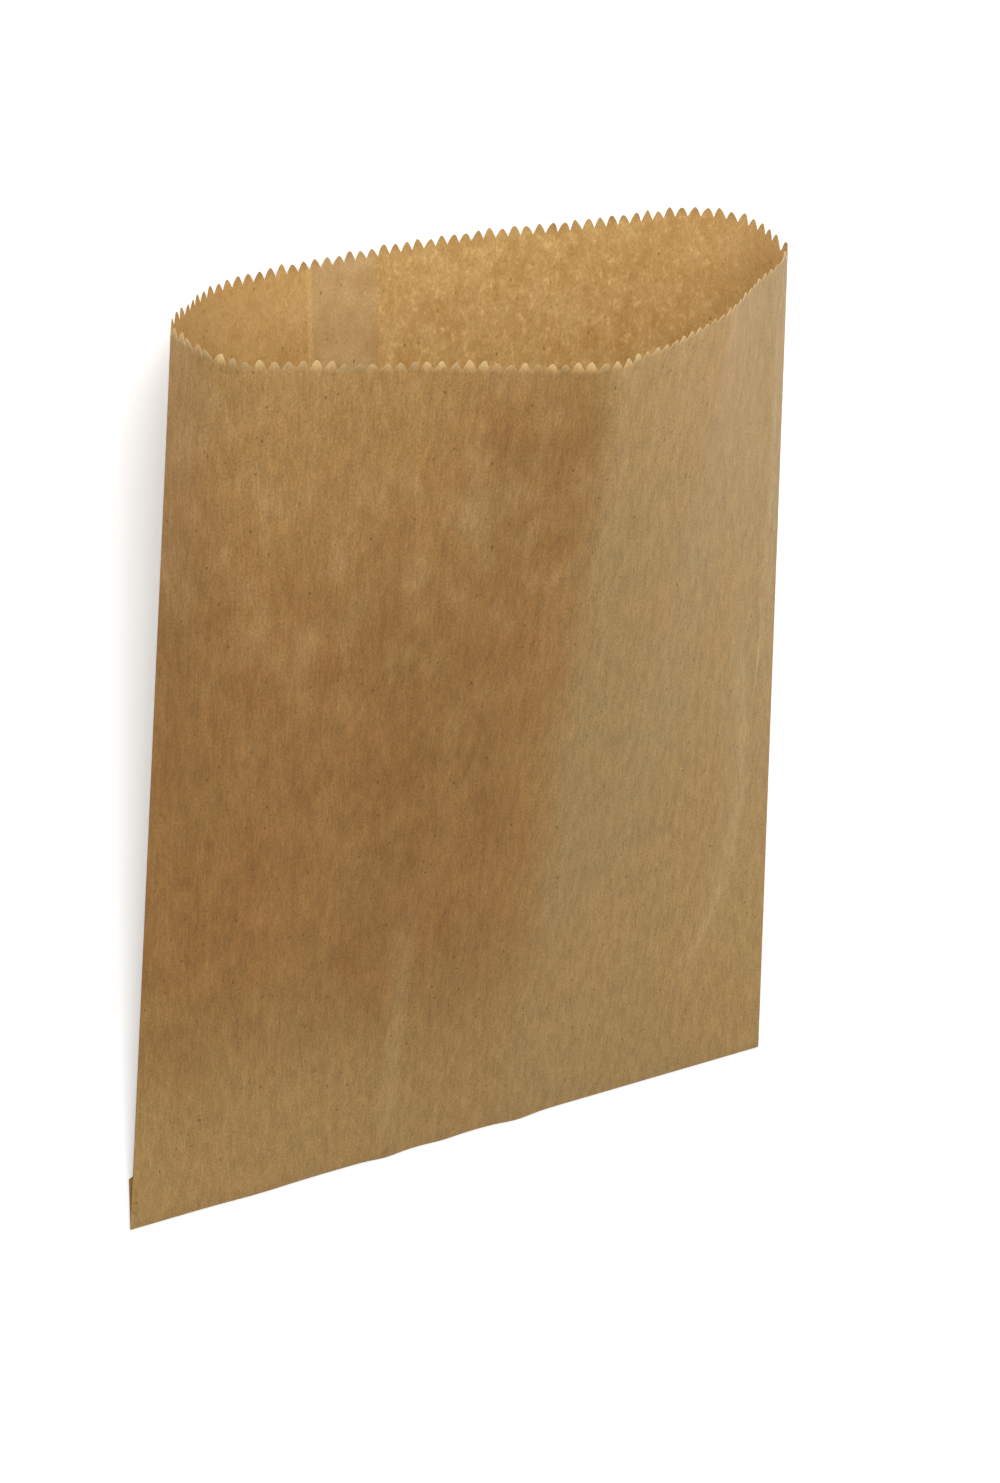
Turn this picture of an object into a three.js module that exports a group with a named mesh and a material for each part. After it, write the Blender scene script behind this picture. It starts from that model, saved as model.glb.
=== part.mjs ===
// Flat paper bag: one pinked kraft paper tube, lapped down its back, folded over at the bottom, sprung open.
// Millimetres. The bag lies on its back: the bottom fold runs along X, the mouth faces +Y, its front faces +Z.
import * as THREE from "three";

// Flat size
const BAG_WIDTH = 235;
const BAG_HEIGHT = 300;
const PAPER = 0.1;

// Pinked mouth
const TOOTH_PITCH = 3.92;
const TOOTH_DEPTH = 3.4;

// Lap seam down the back: its edge from the left crease, its overlap, the width over which the outer sheet
// eases back, and the width of a cut edge
const SEAM_EDGE = 71;
const SEAM_LAP = 22;
const SEAM_EASE = 2;
const CUT = 0.05;

// Bottom flap, folded to the back and glued, with its left corner cut off and sprung loose
const FLAP_HEIGHT = 19;
const FLAP_CORNER = 4;
const FLAP_CORNER_DROP = 2;
const FLAP_LOOSE = 34;
const FLAP_SPRING = 2.2;

// Open mouth: the two creases this far apart, moved sideways and twisted a little against the bottom fold
const MOUTH_CHORD = 198;
const MOUTH_SHIFT = -12;
const MOUTH_LIFT = -3;
const MOUTH_TWIST = -4.4;

// How each lip turns along its length: share of the lip, heading in degrees against the line between the creases
const BACK_TURN = [[0, 74], [0.04, 42], [0.1, 48], [0.2, 15], [0.3, 7], [0.42, 8], [0.6, -8], [0.8, 3],
  [0.9, -62], [0.96, -90], [1, -76]];
const FRONT_TURN = [[0, -86], [0.06, -74], [0.14, -14], [0.35, -12], [0.53, -10], [0.6, 18], [0.72, 29],
  [0.86, 41], [0.95, 40], [1, 57]];

// Fineness of the surface
const FLAP_ROWS = 2;
const WALL_ROWS = 3;
const FOLD_STEPS = 3;
const LIP_STEPS = 480;

const KRAFT = new THREE.MeshStandardMaterial({ color: 0xa98452, roughness: 0.9, metalness: 0, name: "kraft_paper" });

const vec = (x, y, z) => new THREE.Vector3(x, y, z);
const lerp = THREE.MathUtils.lerp;
const radians = THREE.MathUtils.degToRad;

// Value at u of a list of [place, value] steps
function along(steps, u) {
  let k = 1;
  while (k < steps.length - 1 && steps[k][0] < u) k += 1;
  const [u0, v0] = steps[k - 1];
  const [u1, v1] = steps[k];
  return lerp(v0, v1, (u - u0) / (u1 - u0));
}

// Plan of one lip, as long as the bag is wide, walked in equal steps along its headings
function walkLip(turn, spread) {
  const step = BAG_WIDTH / LIP_STEPS;
  const points = [new THREE.Vector2(0, 0)];
  for (let k = 0; k < LIP_STEPS; k += 1) {
    const heading = radians(spread * along(turn, (k + 0.5) / LIP_STEPS));
    const move = new THREE.Vector2(Math.cos(heading), Math.sin(heading)).multiplyScalar(step);
    points.push(points[k].clone().add(move));
  }
  return points;
}

// The lip bows out just enough for its ends to meet the two creases
function openLip(turn) {
  let low = 0;
  let high = 1.6;
  for (let round = 0; round < 50; round += 1) {
    const spread = (low + high) / 2;
    if (walkLip(turn, spread)[LIP_STEPS].length() > MOUTH_CHORD) low = spread;
    else high = spread;
  }
  const points = walkLip(turn, (low + high) / 2);
  const swing = radians(MOUTH_TWIST) - points[LIP_STEPS].angle();
  const origin = new THREE.Vector2(0, 0);
  const start = new THREE.Vector2(-MOUTH_CHORD / 2, 0).rotateAround(origin, radians(MOUTH_TWIST));
  start.add(new THREE.Vector2(MOUTH_SHIFT, MOUTH_LIFT));
  return points.map((point) => point.rotateAround(origin, swing).add(start));
}

// Point of a wall: s across the sheet from the left crease, t up the sheet from the bottom fold.
// Every straight line of the sheet keeps its length, so it leans in as the lip bows out.
// Here the bag still stands: X across, Y to the back, Z up.
class Wall {
  constructor(turn, outward) {
    this.lip = openLip(turn);
    this.outward = outward;
  }

  lean(s) {
    const u = THREE.MathUtils.clamp(s / BAG_WIDTH, 0, 1) * LIP_STEPS;
    const k = Math.min(Math.floor(u), LIP_STEPS - 1);
    const top = this.lip[k].clone().lerp(this.lip[k + 1], u - k);
    const away = top.x - (s - BAG_WIDTH / 2);
    const rise = Math.sqrt(BAG_HEIGHT ** 2 - away ** 2 - top.y ** 2);
    return vec(away, top.y, rise).divideScalar(BAG_HEIGHT);
  }

  point(s, t) {
    return this.lean(s).multiplyScalar(t).add(vec(s - BAG_WIDTH / 2, 0, 0));
  }

  normal(s, t) {
    const reach = TOOTH_PITCH / 4;
    const s0 = Math.max(s - reach, 0);
    const s1 = Math.min(s + reach, BAG_WIDTH);
    const across = this.point(s1, t).sub(this.point(s0, t));
    return across.cross(this.lean(s)).multiplyScalar(-this.outward).normalize();
  }
}

const back = new Wall(BACK_TURN, 1);
const front = new Wall(FRONT_TURN, -1);

// Over the seam the wall is two sheets deep. The outer sheet's cut edge shows outside and the inner one's inside.
const seamEnd = SEAM_EDGE + SEAM_LAP;
const DEPTH = [[0, PAPER], [SEAM_EDGE, PAPER], [SEAM_EDGE + CUT, 2 * PAPER], [seamEnd + CUT, 2 * PAPER],
  [seamEnd + SEAM_EASE, PAPER], [BAG_WIDTH, PAPER]];
const INSET = [[0, 0], [seamEnd, 0], [seamEnd + CUT, PAPER], [seamEnd + SEAM_EASE, 0], [BAG_WIDTH, 0]];

// Columns across the sheet: every tip and root of the teeth, and the steps of the seam
const teeth = Math.round(BAG_WIDTH / TOOTH_PITCH);
const halfTooth = BAG_WIDTH / teeth / 2;

function toothRise(s) {
  const phase = s / halfTooth;
  return TOOTH_DEPTH * (1 - Math.abs(phase % 2 - 1));
}

const steps = [...DEPTH.slice(1, -1), ...INSET.slice(1, 2)].map(([s]) => s);
const across = [...steps];
for (let k = 0; k <= 2 * teeth; k += 1) {
  if (steps.every((s) => Math.abs(s - k * halfTooth) > halfTooth / 4)) across.push(k * halfTooth);
}
across.sort((a, b) => a - b);

// Heights of the rows: the flap's, the wall's, then the root line and the toothed lip
function flapTop(s) {
  return FLAP_HEIGHT - FLAP_CORNER_DROP * Math.max(0, 1 - s / FLAP_CORNER);
}

const ROWS = FLAP_ROWS + WALL_ROWS + 1;
const rootLine = BAG_HEIGHT - 1.5 * TOOTH_DEPTH;

function rowHeight(row, s) {
  if (row <= FLAP_ROWS) return flapTop(s) * row / FLAP_ROWS;
  if (row === ROWS) return BAG_HEIGHT - TOOTH_DEPTH + toothRise(s);
  return lerp(flapTop(s), rootLine, (row - FLAP_ROWS) / WALL_ROWS);
}

// Stations round the tube. Each has its inner and its outer place on the sheet.
function wallStation(wall, s) {
  const inset = wall === back ? along(INSET, s) : 0;
  const depth = wall === back ? along(DEPTH, s) : PAPER;
  const at = (row, offset) => {
    const t = rowHeight(row, s);
    return wall.point(s, t).addScaledVector(wall.normal(s, t), offset);
  };
  return { s, wall, depth, inner: (row) => at(row, row > 0 ? inset : 0), outer: (row) => at(row, depth) };
}

// The crease turns the outer face from one wall to the other about a sharp inner corner
function creaseStations(s, from, to) {
  const side = vec(s > 0 ? 1 : -1, 0, 0);
  return [-1, 0, 1].map((turn) => {
    const outer = (row) => {
      const t = rowHeight(row, s);
      const n0 = from.normal(s, t);
      const n1 = to.normal(s, t);
      const middle = from.lean(s).cross(n0.clone().sub(n1)).normalize();
      if (middle.dot(side) < 0) middle.negate();
      const facing = turn < 0 ? n0 : n1;
      const n = turn === 0 ? middle : middle.add(facing).normalize();
      return from.point(s, t).addScaledVector(n, PAPER);
    };
    return { s, crease: true, inner: (row) => from.point(s, rowHeight(row, s)), outer };
  });
}

const backStations = across.map((s) => wallStation(back, s));
const frontStations = [...across].reverse().map((s) => wallStation(front, s));
const leftCrease = creaseStations(0, front, back);
const rightCrease = creaseStations(BAG_WIDTH, back, front);
const ring = [...backStations, ...rightCrease, ...frontStations, ...leftCrease];

// Closed mesh: shared corners, and no face on corners that fall together
const corners = [];
const cornerOf = new Map();
const faces = [];

function corner(point) {
  const key = point.toArray().map((value) => Math.round(value * 2000)).join(" ");
  if (!cornerOf.has(key)) {
    cornerOf.set(key, corners.length / 3);
    corners.push(point.x, point.y, point.z);
  }
  return cornerOf.get(key);
}

function triangle(a, b, c) {
  const [i, j, k] = [corner(a), corner(b), corner(c)];
  if (i !== j && j !== k && k !== i) faces.push(i, j, k);
}

function quad(a, b, c, d) {
  triangle(a, b, c);
  triangle(a, c, d);
}

// The flap stands off the wall at its loose corner
function spring(s, row) {
  return FLAP_SPRING * Math.max(0, 1 - s / FLAP_LOOSE) * row / FLAP_ROWS;
}

function flapPoint(station, row, layers) {
  const { s, wall, depth } = station;
  const t = rowHeight(row, s);
  const offset = depth + layers * PAPER + spring(s, row);
  return wall.point(s, t).addScaledVector(wall.normal(s, t), offset);
}

const glued = (s) => s >= FLAP_LOOSE;

// Walls of the tube, inside and outside, and the toothed rim that joins them
for (let k = 0; k < ring.length; k += 1) {
  const here = ring[k];
  const next = ring[(k + 1) % ring.length];
  const onBack = here.wall === back && next.wall === back;
  for (let row = 0; row < ROWS; row += 1) {
    quad(here.inner(row), next.inner(row), next.inner(row + 1), here.inner(row + 1));
    const covered = onBack && row < FLAP_ROWS && glued(here.s);
    if (!covered) quad(here.outer(row), here.outer(row + 1), next.outer(row + 1), next.outer(row));
  }
  quad(here.inner(ROWS), next.inner(ROWS), next.outer(ROWS), here.outer(ROWS));
}

// Fold under the bottom: both layers turn about the back wall's foot and run up again as the flap
function foldArc(station) {
  const pivot = station.outer(0);
  const start = front.point(station.s, 0).addScaledVector(front.normal(station.s, 0), PAPER);
  const end = flapPoint(station, 0, 2);
  const arm0 = start.clone().sub(pivot);
  const arm1 = end.clone().sub(pivot);
  const angle0 = Math.atan2(-arm0.z, -arm0.y);
  const angle1 = Math.atan2(-arm1.z, -arm1.y);
  const sweep = (angle1 - angle0 + 2 * Math.PI) % (2 * Math.PI);
  const arc = [start];
  for (let k = 1; k < FOLD_STEPS; k += 1) {
    const angle = angle0 + sweep * k / FOLD_STEPS;
    const reach = lerp(arm0.length(), arm1.length(), k / FOLD_STEPS);
    arc.push(vec(start.x, pivot.y - reach * Math.cos(angle), pivot.z - reach * Math.sin(angle)));
  }
  arc.push(end);
  return arc;
}

for (let k = 0; k < backStations.length - 1; k += 1) {
  const here = backStations[k];
  const next = backStations[k + 1];
  const arcHere = foldArc(here);
  const arcNext = foldArc(next);
  for (let step = 0; step < FOLD_STEPS; step += 1) {
    quad(arcHere[step], arcHere[step + 1], arcNext[step + 1], arcNext[step]);
  }
  for (let row = 0; row < FLAP_ROWS; row += 1) {
    quad(flapPoint(here, row, 2), flapPoint(here, row + 1, 2), flapPoint(next, row + 1, 2), flapPoint(next, row, 2));
    if (!glued(here.s)) {
      quad(flapPoint(next, row, 0), flapPoint(next, row + 1, 0), flapPoint(here, row + 1, 0), flapPoint(here, row, 0));
    }
  }
  const top = FLAP_ROWS;
  quad(flapPoint(here, top, 0), flapPoint(next, top, 0), flapPoint(next, top, 2), flapPoint(here, top, 2));
}

// Ends of the fold and of the flap, at the two creases
function closeEnd(station, crease, flip) {
  const face = flip ? (a, b, c) => triangle(a, c, b) : triangle;
  const pivot = station.outer(0);
  const arc = foldArc(station);
  const round = [arc[0], ...crease.map((turn) => turn.outer(0))];
  for (let k = 0; k < round.length - 1; k += 1) face(pivot, round[k], round[k + 1]);
  for (let k = 0; k < arc.length - 1; k += 1) face(pivot, arc[k + 1], arc[k]);
  for (let row = 0; row < FLAP_ROWS; row += 1) {
    const [a, b] = [flapPoint(station, row, 0), flapPoint(station, row + 1, 0)];
    const [c, d] = [flapPoint(station, row + 1, 2), flapPoint(station, row, 2)];
    face(a, b, c);
    face(a, c, d);
  }
}

closeEnd(backStations[0], leftCrease, false);
closeEnd(backStations[backStations.length - 1], [...rightCrease].reverse(), true);

const geometry = new THREE.BufferGeometry();
geometry.setAttribute("position", new THREE.Float32BufferAttribute(corners, 3));
geometry.setIndex(faces);

// Laid on its back, the bag rests on its bottom fold and on the belly of its back lip
geometry.rotateX(-Math.PI / 2);

function lowest(angle, nearMouth) {
  let low = Infinity;
  for (let k = 0; k < corners.length; k += 3) {
    const [y, z] = [corners[k + 2], -corners[k + 1]];
    if (nearMouth === y > BAG_HEIGHT / 2) low = Math.min(low, y * Math.sin(angle) + z * Math.cos(angle));
  }
  return low;
}

let flat = 0;
let steep = Math.PI / 4;
for (let round = 0; round < 40; round += 1) {
  const angle = (flat + steep) / 2;
  if (lowest(angle, true) < lowest(angle, false)) flat = angle;
  else steep = angle;
}
geometry.rotateX((flat + steep) / 2);
geometry.computeBoundingBox();
const centre = geometry.boundingBox.getCenter(vec(0, 0, 0));
geometry.translate(-centre.x, -centre.y, -geometry.boundingBox.min.z);
geometry.computeVertexNormals();

const bag = new THREE.Mesh(geometry, KRAFT);
bag.name = "paper_bag";
const group = new THREE.Group();
group.add(bag);

export default group;
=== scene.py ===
# Flat paper bag: the look of its kraft paper, lying on a white floor under soft light.
# The sheet's sizes are in millimetres, as in the part's source. Textures, camera and stage are in metres.
import math

import bpy
import numpy as np
from mathutils import Matrix, Vector


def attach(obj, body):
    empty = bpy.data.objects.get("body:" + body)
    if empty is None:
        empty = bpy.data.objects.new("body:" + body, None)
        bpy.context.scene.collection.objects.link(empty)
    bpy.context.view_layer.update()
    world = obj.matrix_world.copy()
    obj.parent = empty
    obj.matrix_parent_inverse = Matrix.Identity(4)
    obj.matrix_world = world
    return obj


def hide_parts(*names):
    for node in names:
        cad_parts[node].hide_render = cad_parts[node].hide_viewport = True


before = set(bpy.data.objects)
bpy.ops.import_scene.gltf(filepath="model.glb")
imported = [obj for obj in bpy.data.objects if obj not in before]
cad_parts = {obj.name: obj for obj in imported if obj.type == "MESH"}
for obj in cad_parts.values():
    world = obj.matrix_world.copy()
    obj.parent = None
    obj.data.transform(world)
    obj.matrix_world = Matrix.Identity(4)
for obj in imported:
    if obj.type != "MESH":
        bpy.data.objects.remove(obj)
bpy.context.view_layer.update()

MM = 0.001

# Camera: where it stands, what it looks at, which way is up in its picture, and its lens
CAMERA_AT = (-0.64062, 0.51957, 1.05496)
CAMERA_AIM = (-0.01028, 0.00487, 0.04220)
CAMERA_UP = (0.2056, 0.9182, -0.3387)
CAMERA_LENS = 105.82
CAMERA_SENSOR = 36
CAMERA_CLIP_END = 30

# The bag's flat size, teeth, seam and flap
BAG_WIDTH = 235
BAG_HEIGHT = 300
PAPER = 0.1
TEETH = 60
TOOTH_DEPTH = 3.4
SEAM_EDGE = 71
SEAM_END = 93
SEAM_EASE = 2
CUT = 0.05
FLAP_HEIGHT = 19
FLAP_CORNER = 4
FLAP_CORNER_DROP = 2
FLAP_LOOSE = 34
FLAP_SPRING = 2.2

# The open mouth. Each lip's heading is given in degrees at shares of its length.
MOUTH_CHORD = 198
MOUTH_SHIFT = -12
MOUTH_LIFT = -3
MOUTH_TWIST = -4.4
WIDEST_SPREAD = 1.6
BACK_TURN = [[0, 74], [0.04, 42], [0.1, 48], [0.2, 15], [0.3, 7], [0.42, 8], [0.6, -8], [0.8, 3],
             [0.9, -62], [0.96, -90], [1, -76]]
FRONT_TURN = [[0, -86], [0.06, -74], [0.14, -14], [0.35, -12], [0.53, -10], [0.6, 18], [0.72, 29],
              [0.86, 41], [0.95, 40], [1, 57]]

# Fineness of the mesh
LIP_STEPS = 960
LIP_HALVINGS = 50
TILT_HALVINGS = 40
TOOTH_STEPS = 4
FLAP_ROWS = 4
WALL_ROWS = 34
TOOTH_ROWS = 5
FOLD_STEPS = 6
ROWS = FLAP_ROWS + WALL_ROWS + TOOTH_ROWS
MERGE_GRID = 2000
SHARP_EDGE = 50

HALF_TOOTH = BAG_WIDTH / TEETH / 2
ROOT_LINE = BAG_HEIGHT - 1.5 * TOOTH_DEPTH

# Where the middle of the CAD box is along the bag, from its bottom fold
BOX_MIDDLE = 149.872


# Shape of the sheet. s runs across it from the left crease, t up it from the bottom fold.

def walk_lip(turn, spread):
    """Plan of one lip, walked in equal steps along its headings."""
    places, angles = np.array(turn).T
    steps = (np.arange(LIP_STEPS) + 0.5) / LIP_STEPS
    heading = np.radians(spread * np.interp(steps, places, angles))
    moves = np.stack([np.cos(heading), np.sin(heading)], 1) * BAG_WIDTH / LIP_STEPS
    return np.vstack([[0, 0], np.cumsum(moves, 0)])


def turned(points, angle):
    c, s = math.cos(angle), math.sin(angle)
    return points @ np.array([[c, s], [-s, c]])


def open_lip(turn):
    """The lip bows out just enough for its ends to meet the two creases."""
    low, high = 0.0, WIDEST_SPREAD
    for _ in range(LIP_HALVINGS):
        spread = (low + high) / 2
        if np.hypot(*walk_lip(turn, spread)[-1]) > MOUTH_CHORD:
            low = spread
        else:
            high = spread
    points = walk_lip(turn, (low + high) / 2)
    twist = math.radians(MOUTH_TWIST)
    swing = twist - math.atan2(points[-1, 1], points[-1, 0])
    start = turned(np.array([-MOUTH_CHORD / 2, 0.0]), twist) + [MOUTH_SHIFT, MOUTH_LIFT]
    return turned(points, swing) + start


def smooth_step(x):
    x = np.clip(x, 0, 1)
    return x * x * (3 - 2 * x)


def eased(x, start, full):
    """0 up to start, 1 from full on, smooth between."""
    return smooth_step((x - start) / (full - start))


def ridge(distance, width):
    return np.exp(-(distance / width) ** 2)


def from_crease(s):
    """Distance to the nearer side crease."""
    return np.minimum(s, BAG_WIDTH - s)


# Lines pressed into the front of the sheet, as (s, t), with how far each stands out and its width
CURVED_CREASE = [(196, 36), (207, 54), (214, 72), (220, 93), (221.5, 120), (217, 149), (215, 170)]
SEAM_IMPRINT = [(90, 0), (86, 46), (83, 88), (81, 183), (79, 271)]
SHORT_CREASE = [(151, 2), (146, 22), (136, 50)]
RIGHT_BAND = [(228, 150), (227, 215), (224, 251), (219, 290)]
PRESSED_LINES = ((CURVED_CREASE, -0.45, 5), (SEAM_IMPRINT, 0.22, 2.4), (SHORT_CREASE, 0.25, 3.5),
                 (RIGHT_BAND, 0.2, 4))
LINE_FADE = 25
LINE_END_SHARE = 0.2

# Where a form of the walls starts and where it is full: up the sheet, or away from the nearer side crease
SWELLS_UP = (0, 70)
SWELLS_IN = (0, 28)
BACK_SWELLS_UP = (60, 120)
RIDGE_UP = (170, 260)
FLUTTER_UP = (250, 300)
FLUTTER_IN = (0, 20)
FRONT_RELIEF_UP = (0, 12)
FRONT_RELIEF_IN = (0, 5)

# Low swells of a wall: their lengths and heights, how far they turn, and how much they slant up the sheet
SWELLS = ((92, 0.55), (58, 0.35), (37, 0.16), (24, 0.07))
SWELL_TURN = 0.7
SWELL_SLANT = 0.35
FRONT_SEED = 7
BACK_SEED = 11
BACK_SWELL_SHARE = 0.4

# The soft ridge down the front from the middle of its lip
RIDGE_PLACE = 138
RIDGE_HEIGHT = 0.9
RIDGE_REACH = 9
RIDGE_ROUNDING = 2

# Flutter of the front lip: the length, share and phase of each wave
FLUTTER_HEIGHT = 0.16
FLUTTER = ((31, 1, 0.6), (17, 0.6, 2))


def fold_line(s, t, points, width):
    """A soft crease along a line of (s, t) points on the sheet, fading at its ends."""
    s_at, t_at = np.array(points, float).T
    order = np.argsort(t_at)
    middle = np.interp(t, t_at[order], s_at[order])
    slope = np.gradient(s_at[order], t_at[order])
    lean = np.cos(np.arctan(np.interp(t, t_at[order], slope)))
    low_end = smooth_step((t - t_at.min()) / LINE_FADE + LINE_END_SHARE)
    high_end = smooth_step((t_at.max() - t) / LINE_FADE + LINE_END_SHARE)
    return ridge((s - middle) * lean, width) * (low_end * high_end)


def waves(s, t, seed):
    """Low swells of the sheet, still at the fold and the creases."""
    random = np.random.default_rng(seed)
    total = 0
    for length, height in SWELLS:
        for _ in range(2):
            angle = random.uniform(-SWELL_TURN, SWELL_TURN)
            phase = random.uniform(0, 2 * math.pi)
            across = s * math.cos(angle) + SWELL_SLANT * t * math.sin(angle)
            total = total + height * np.sin(2 * math.pi * across / length + phase) / 2
    return total * (eased(t, *SWELLS_UP) * eased(from_crease(s), *SWELLS_IN))


def relief_front(s, t):
    height = waves(s, t, FRONT_SEED)
    soft_ridge = np.exp(-np.hypot(s - RIDGE_PLACE, RIDGE_ROUNDING) / RIDGE_REACH)
    height = height + RIDGE_HEIGHT * soft_ridge * eased(t, *RIDGE_UP)
    for points, lift, width in PRESSED_LINES:
        height = height + lift * fold_line(s, t, points, width)
    flutter = sum(share * np.sin(2 * math.pi * s / length + phase) for length, share, phase in FLUTTER)
    lip_share = FLUTTER_HEIGHT * flutter * eased(t, *FLUTTER_UP) * eased(from_crease(s), *FLUTTER_IN)
    return (height + lip_share) * eased(t, *FRONT_RELIEF_UP) * eased(from_crease(s), *FRONT_RELIEF_IN)


def relief_back(s, t):
    return waves(s, t, BACK_SEED) * BACK_SWELL_SHARE * eased(t, *BACK_SWELLS_UP)


# Each tooth is cut a little unevenly and blunt at its tip, and bends a little out of the sheet.
# The first row of each table is for the back lip and the second for the front one.
BACK, FRONT = 0, 1
uneven = np.random.default_rng(3)
TOOTH_SCALE = uneven.uniform(0.76, 1.05, (2, TEETH))
TOOTH_BLUNT = uneven.uniform(1.35, 2.1, (2, TEETH))
TOOTH_LEAN = uneven.uniform(-0.25, 0.25, (2, TEETH))
TOOTH_CURL = uneven.normal(0, 1, (2, TEETH))
TOOTH_CURL_REACH = (0.25, 0.6)
TOOTH_CURL_POWER = 1.5

# By the creases all teeth are alike. The last one stands on the right crease, beside a deeper gap.
CREASE_TEETH_WITHIN = 8
CREASE_TOOTH_SCALE = 0.95
CREASE_TOOTH_BLUNT = 2.0
CREASE_TOOTH_SHIFT = 1.3
CREASE_TOOTH_SHIFT_WITHIN = 6
CREASE_TOOTH_GAP = 1.3
CREASE_TOOTH_GAP_AT = 2.9
CREASE_TOOTH_GAP_WIDTH = 0.9

# Right of the soft ridge, but not by the right crease, the front lip's teeth are this share of their height
FRONT_TEETH_SMALL = 0.6
SMALL_TEETH_FROM = (140, 170)
SMALL_TEETH_IN = (4, 12)


def unevenness(s):
    """0 at the side creases, 1 away from them."""
    return smooth_step(from_crease(s) / CREASE_TEETH_WITHIN)


def tooth_curl(s, t, side):
    which = np.clip((s / HALF_TOOTH / 2).astype(int), 0, TEETH - 1)
    up_tooth = np.clip((t - BAG_HEIGHT + TOOTH_DEPTH) / TOOTH_DEPTH, 0, 1)
    return TOOTH_CURL_REACH[side] * TOOTH_CURL[side][which] * up_tooth ** TOOTH_CURL_POWER * unevenness(s)


def tooth_rise(s, side):
    """Height of the cut edge above the notches between the teeth."""
    from_end = BAG_WIDTH - s
    moved = s - CREASE_TOOTH_SHIFT * smooth_step(1 - from_end / CREASE_TOOTH_SHIFT_WITHIN)
    phase = moved / HALF_TOOTH
    which = np.clip((phase / 2).astype(int), 0, TEETH - 1)
    uneven_share = unevenness(s)
    middle = 1 + TOOTH_LEAN[side][which] * uneven_share
    in_tooth = phase % 2
    from_tip = np.where(in_tooth < middle, (middle - in_tooth) / middle, (in_tooth - middle) / (2 - middle))
    blunt = CREASE_TOOTH_BLUNT * (1 - uneven_share) + TOOTH_BLUNT[side][which] * uneven_share
    scale = CREASE_TOOTH_SCALE * (1 - uneven_share) + TOOTH_SCALE[side][which] * uneven_share
    rise = TOOTH_DEPTH * scale * (1 - from_tip ** blunt)
    if side == FRONT:
        right_of_ridge = eased(s, *SMALL_TEETH_FROM) * eased(from_end, *SMALL_TEETH_IN)
        rise = rise * (1 - (1 - FRONT_TEETH_SMALL) * right_of_ridge)
    return rise - CREASE_TOOTH_GAP * ridge(from_end - CREASE_TOOTH_GAP_AT, CREASE_TOOTH_GAP_WIDTH)


class Wall:
    """One side of the tube. Here the bag still stands: X across, Y to the back, Z up."""

    def __init__(self, side, turn, relief):
        self.side = side
        self.outward = 1 if side == BACK else -1
        self.lip = open_lip(turn)
        self.relief = relief

    def lean(self, s):
        """Direction of the sheet from the bottom fold up to the lip."""
        u = np.clip(s / BAG_WIDTH, 0, 1) * LIP_STEPS
        grid = np.arange(LIP_STEPS + 1)
        away = np.interp(u, grid, self.lip[:, 0]) - (s - BAG_WIDTH / 2)
        deep = np.interp(u, grid, self.lip[:, 1])
        rise = np.sqrt(BAG_HEIGHT ** 2 - away ** 2 - deep ** 2)
        return np.stack([away, deep, rise], -1) / BAG_HEIGHT

    def point(self, s, t):
        foot = np.stack([s - BAG_WIDTH / 2, 0 * s, 0 * s], -1)
        return foot + self.lean(s) * t[..., None]

    def normal(self, s, t):
        reach = 3.0
        s0 = np.maximum(s - reach, 0)
        s1 = np.minimum(s + reach, BAG_WIDTH)
        across = self.point(s1, t) - self.point(s0, t)
        out = -self.outward * np.cross(across, self.lean(s))
        return out / np.linalg.norm(out, axis=-1, keepdims=True)

    def surface(self, s, t, offset):
        lift = offset + self.relief(s, t) + tooth_curl(s, t, self.side)
        return self.point(s, t) + self.normal(s, t) * lift[..., None]


back = Wall(BACK, BACK_TURN, relief_back)
front = Wall(FRONT, FRONT_TURN, relief_front)


def flap_top(s):
    return FLAP_HEIGHT - FLAP_CORNER_DROP * np.maximum(0, 1 - s / FLAP_CORNER)


def row_height(row, s, wall):
    """Height of a row: rows of the flap, then up the wall, then closing in on the toothed edge."""
    edge = BAG_HEIGHT - TOOTH_DEPTH + tooth_rise(s, wall.side)
    in_flap = flap_top(s) * row / FLAP_ROWS
    in_wall = flap_top(s) + (ROOT_LINE - flap_top(s)) * (row - FLAP_ROWS) / WALL_ROWS
    in_teeth = ROOT_LINE + (edge - ROOT_LINE) * (row - FLAP_ROWS - WALL_ROWS) / TOOTH_ROWS
    return np.where(row <= FLAP_ROWS, in_flap, np.where(row <= FLAP_ROWS + WALL_ROWS, in_wall, in_teeth))


# Over the seam the wall is two sheets deep, with the outer sheet's edge outside and the inner one's inside
def depth_at(s):
    places = [0, SEAM_EDGE, SEAM_EDGE + CUT, SEAM_END + CUT, SEAM_END + SEAM_EASE, BAG_WIDTH]
    return np.interp(s, places, np.array([1, 1, 2, 2, 1, 1]) * PAPER)


def inset_at(s):
    places = [0, SEAM_END, SEAM_END + CUT, SEAM_END + SEAM_EASE, BAG_WIDTH]
    return np.interp(s, places, np.array([0, 0, 1, 0, 0]) * PAPER)


def across_sheet():
    """Columns across the sheet, evenly over the teeth and at each step of the seam."""
    steps = [SEAM_EDGE, SEAM_EDGE + CUT, SEAM_END, SEAM_END + CUT, SEAM_END + SEAM_EASE]
    too_near = 0.12
    even = np.arange(2 * TEETH * TOOTH_STEPS + 1) * HALF_TOOTH / TOOTH_STEPS
    kept = [s for s in even if min(abs(s - step) for step in steps) > too_near]
    return np.array(sorted(kept + steps))


# Surfaces of the sheet, as grids of rows by columns

def grid_of(wall, s, last=ROWS):
    row = np.arange(last + 1)[:, None]
    return row, row_height(row, s[None, :], wall), np.broadcast_to(s, (last + 1, len(s)))


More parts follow.
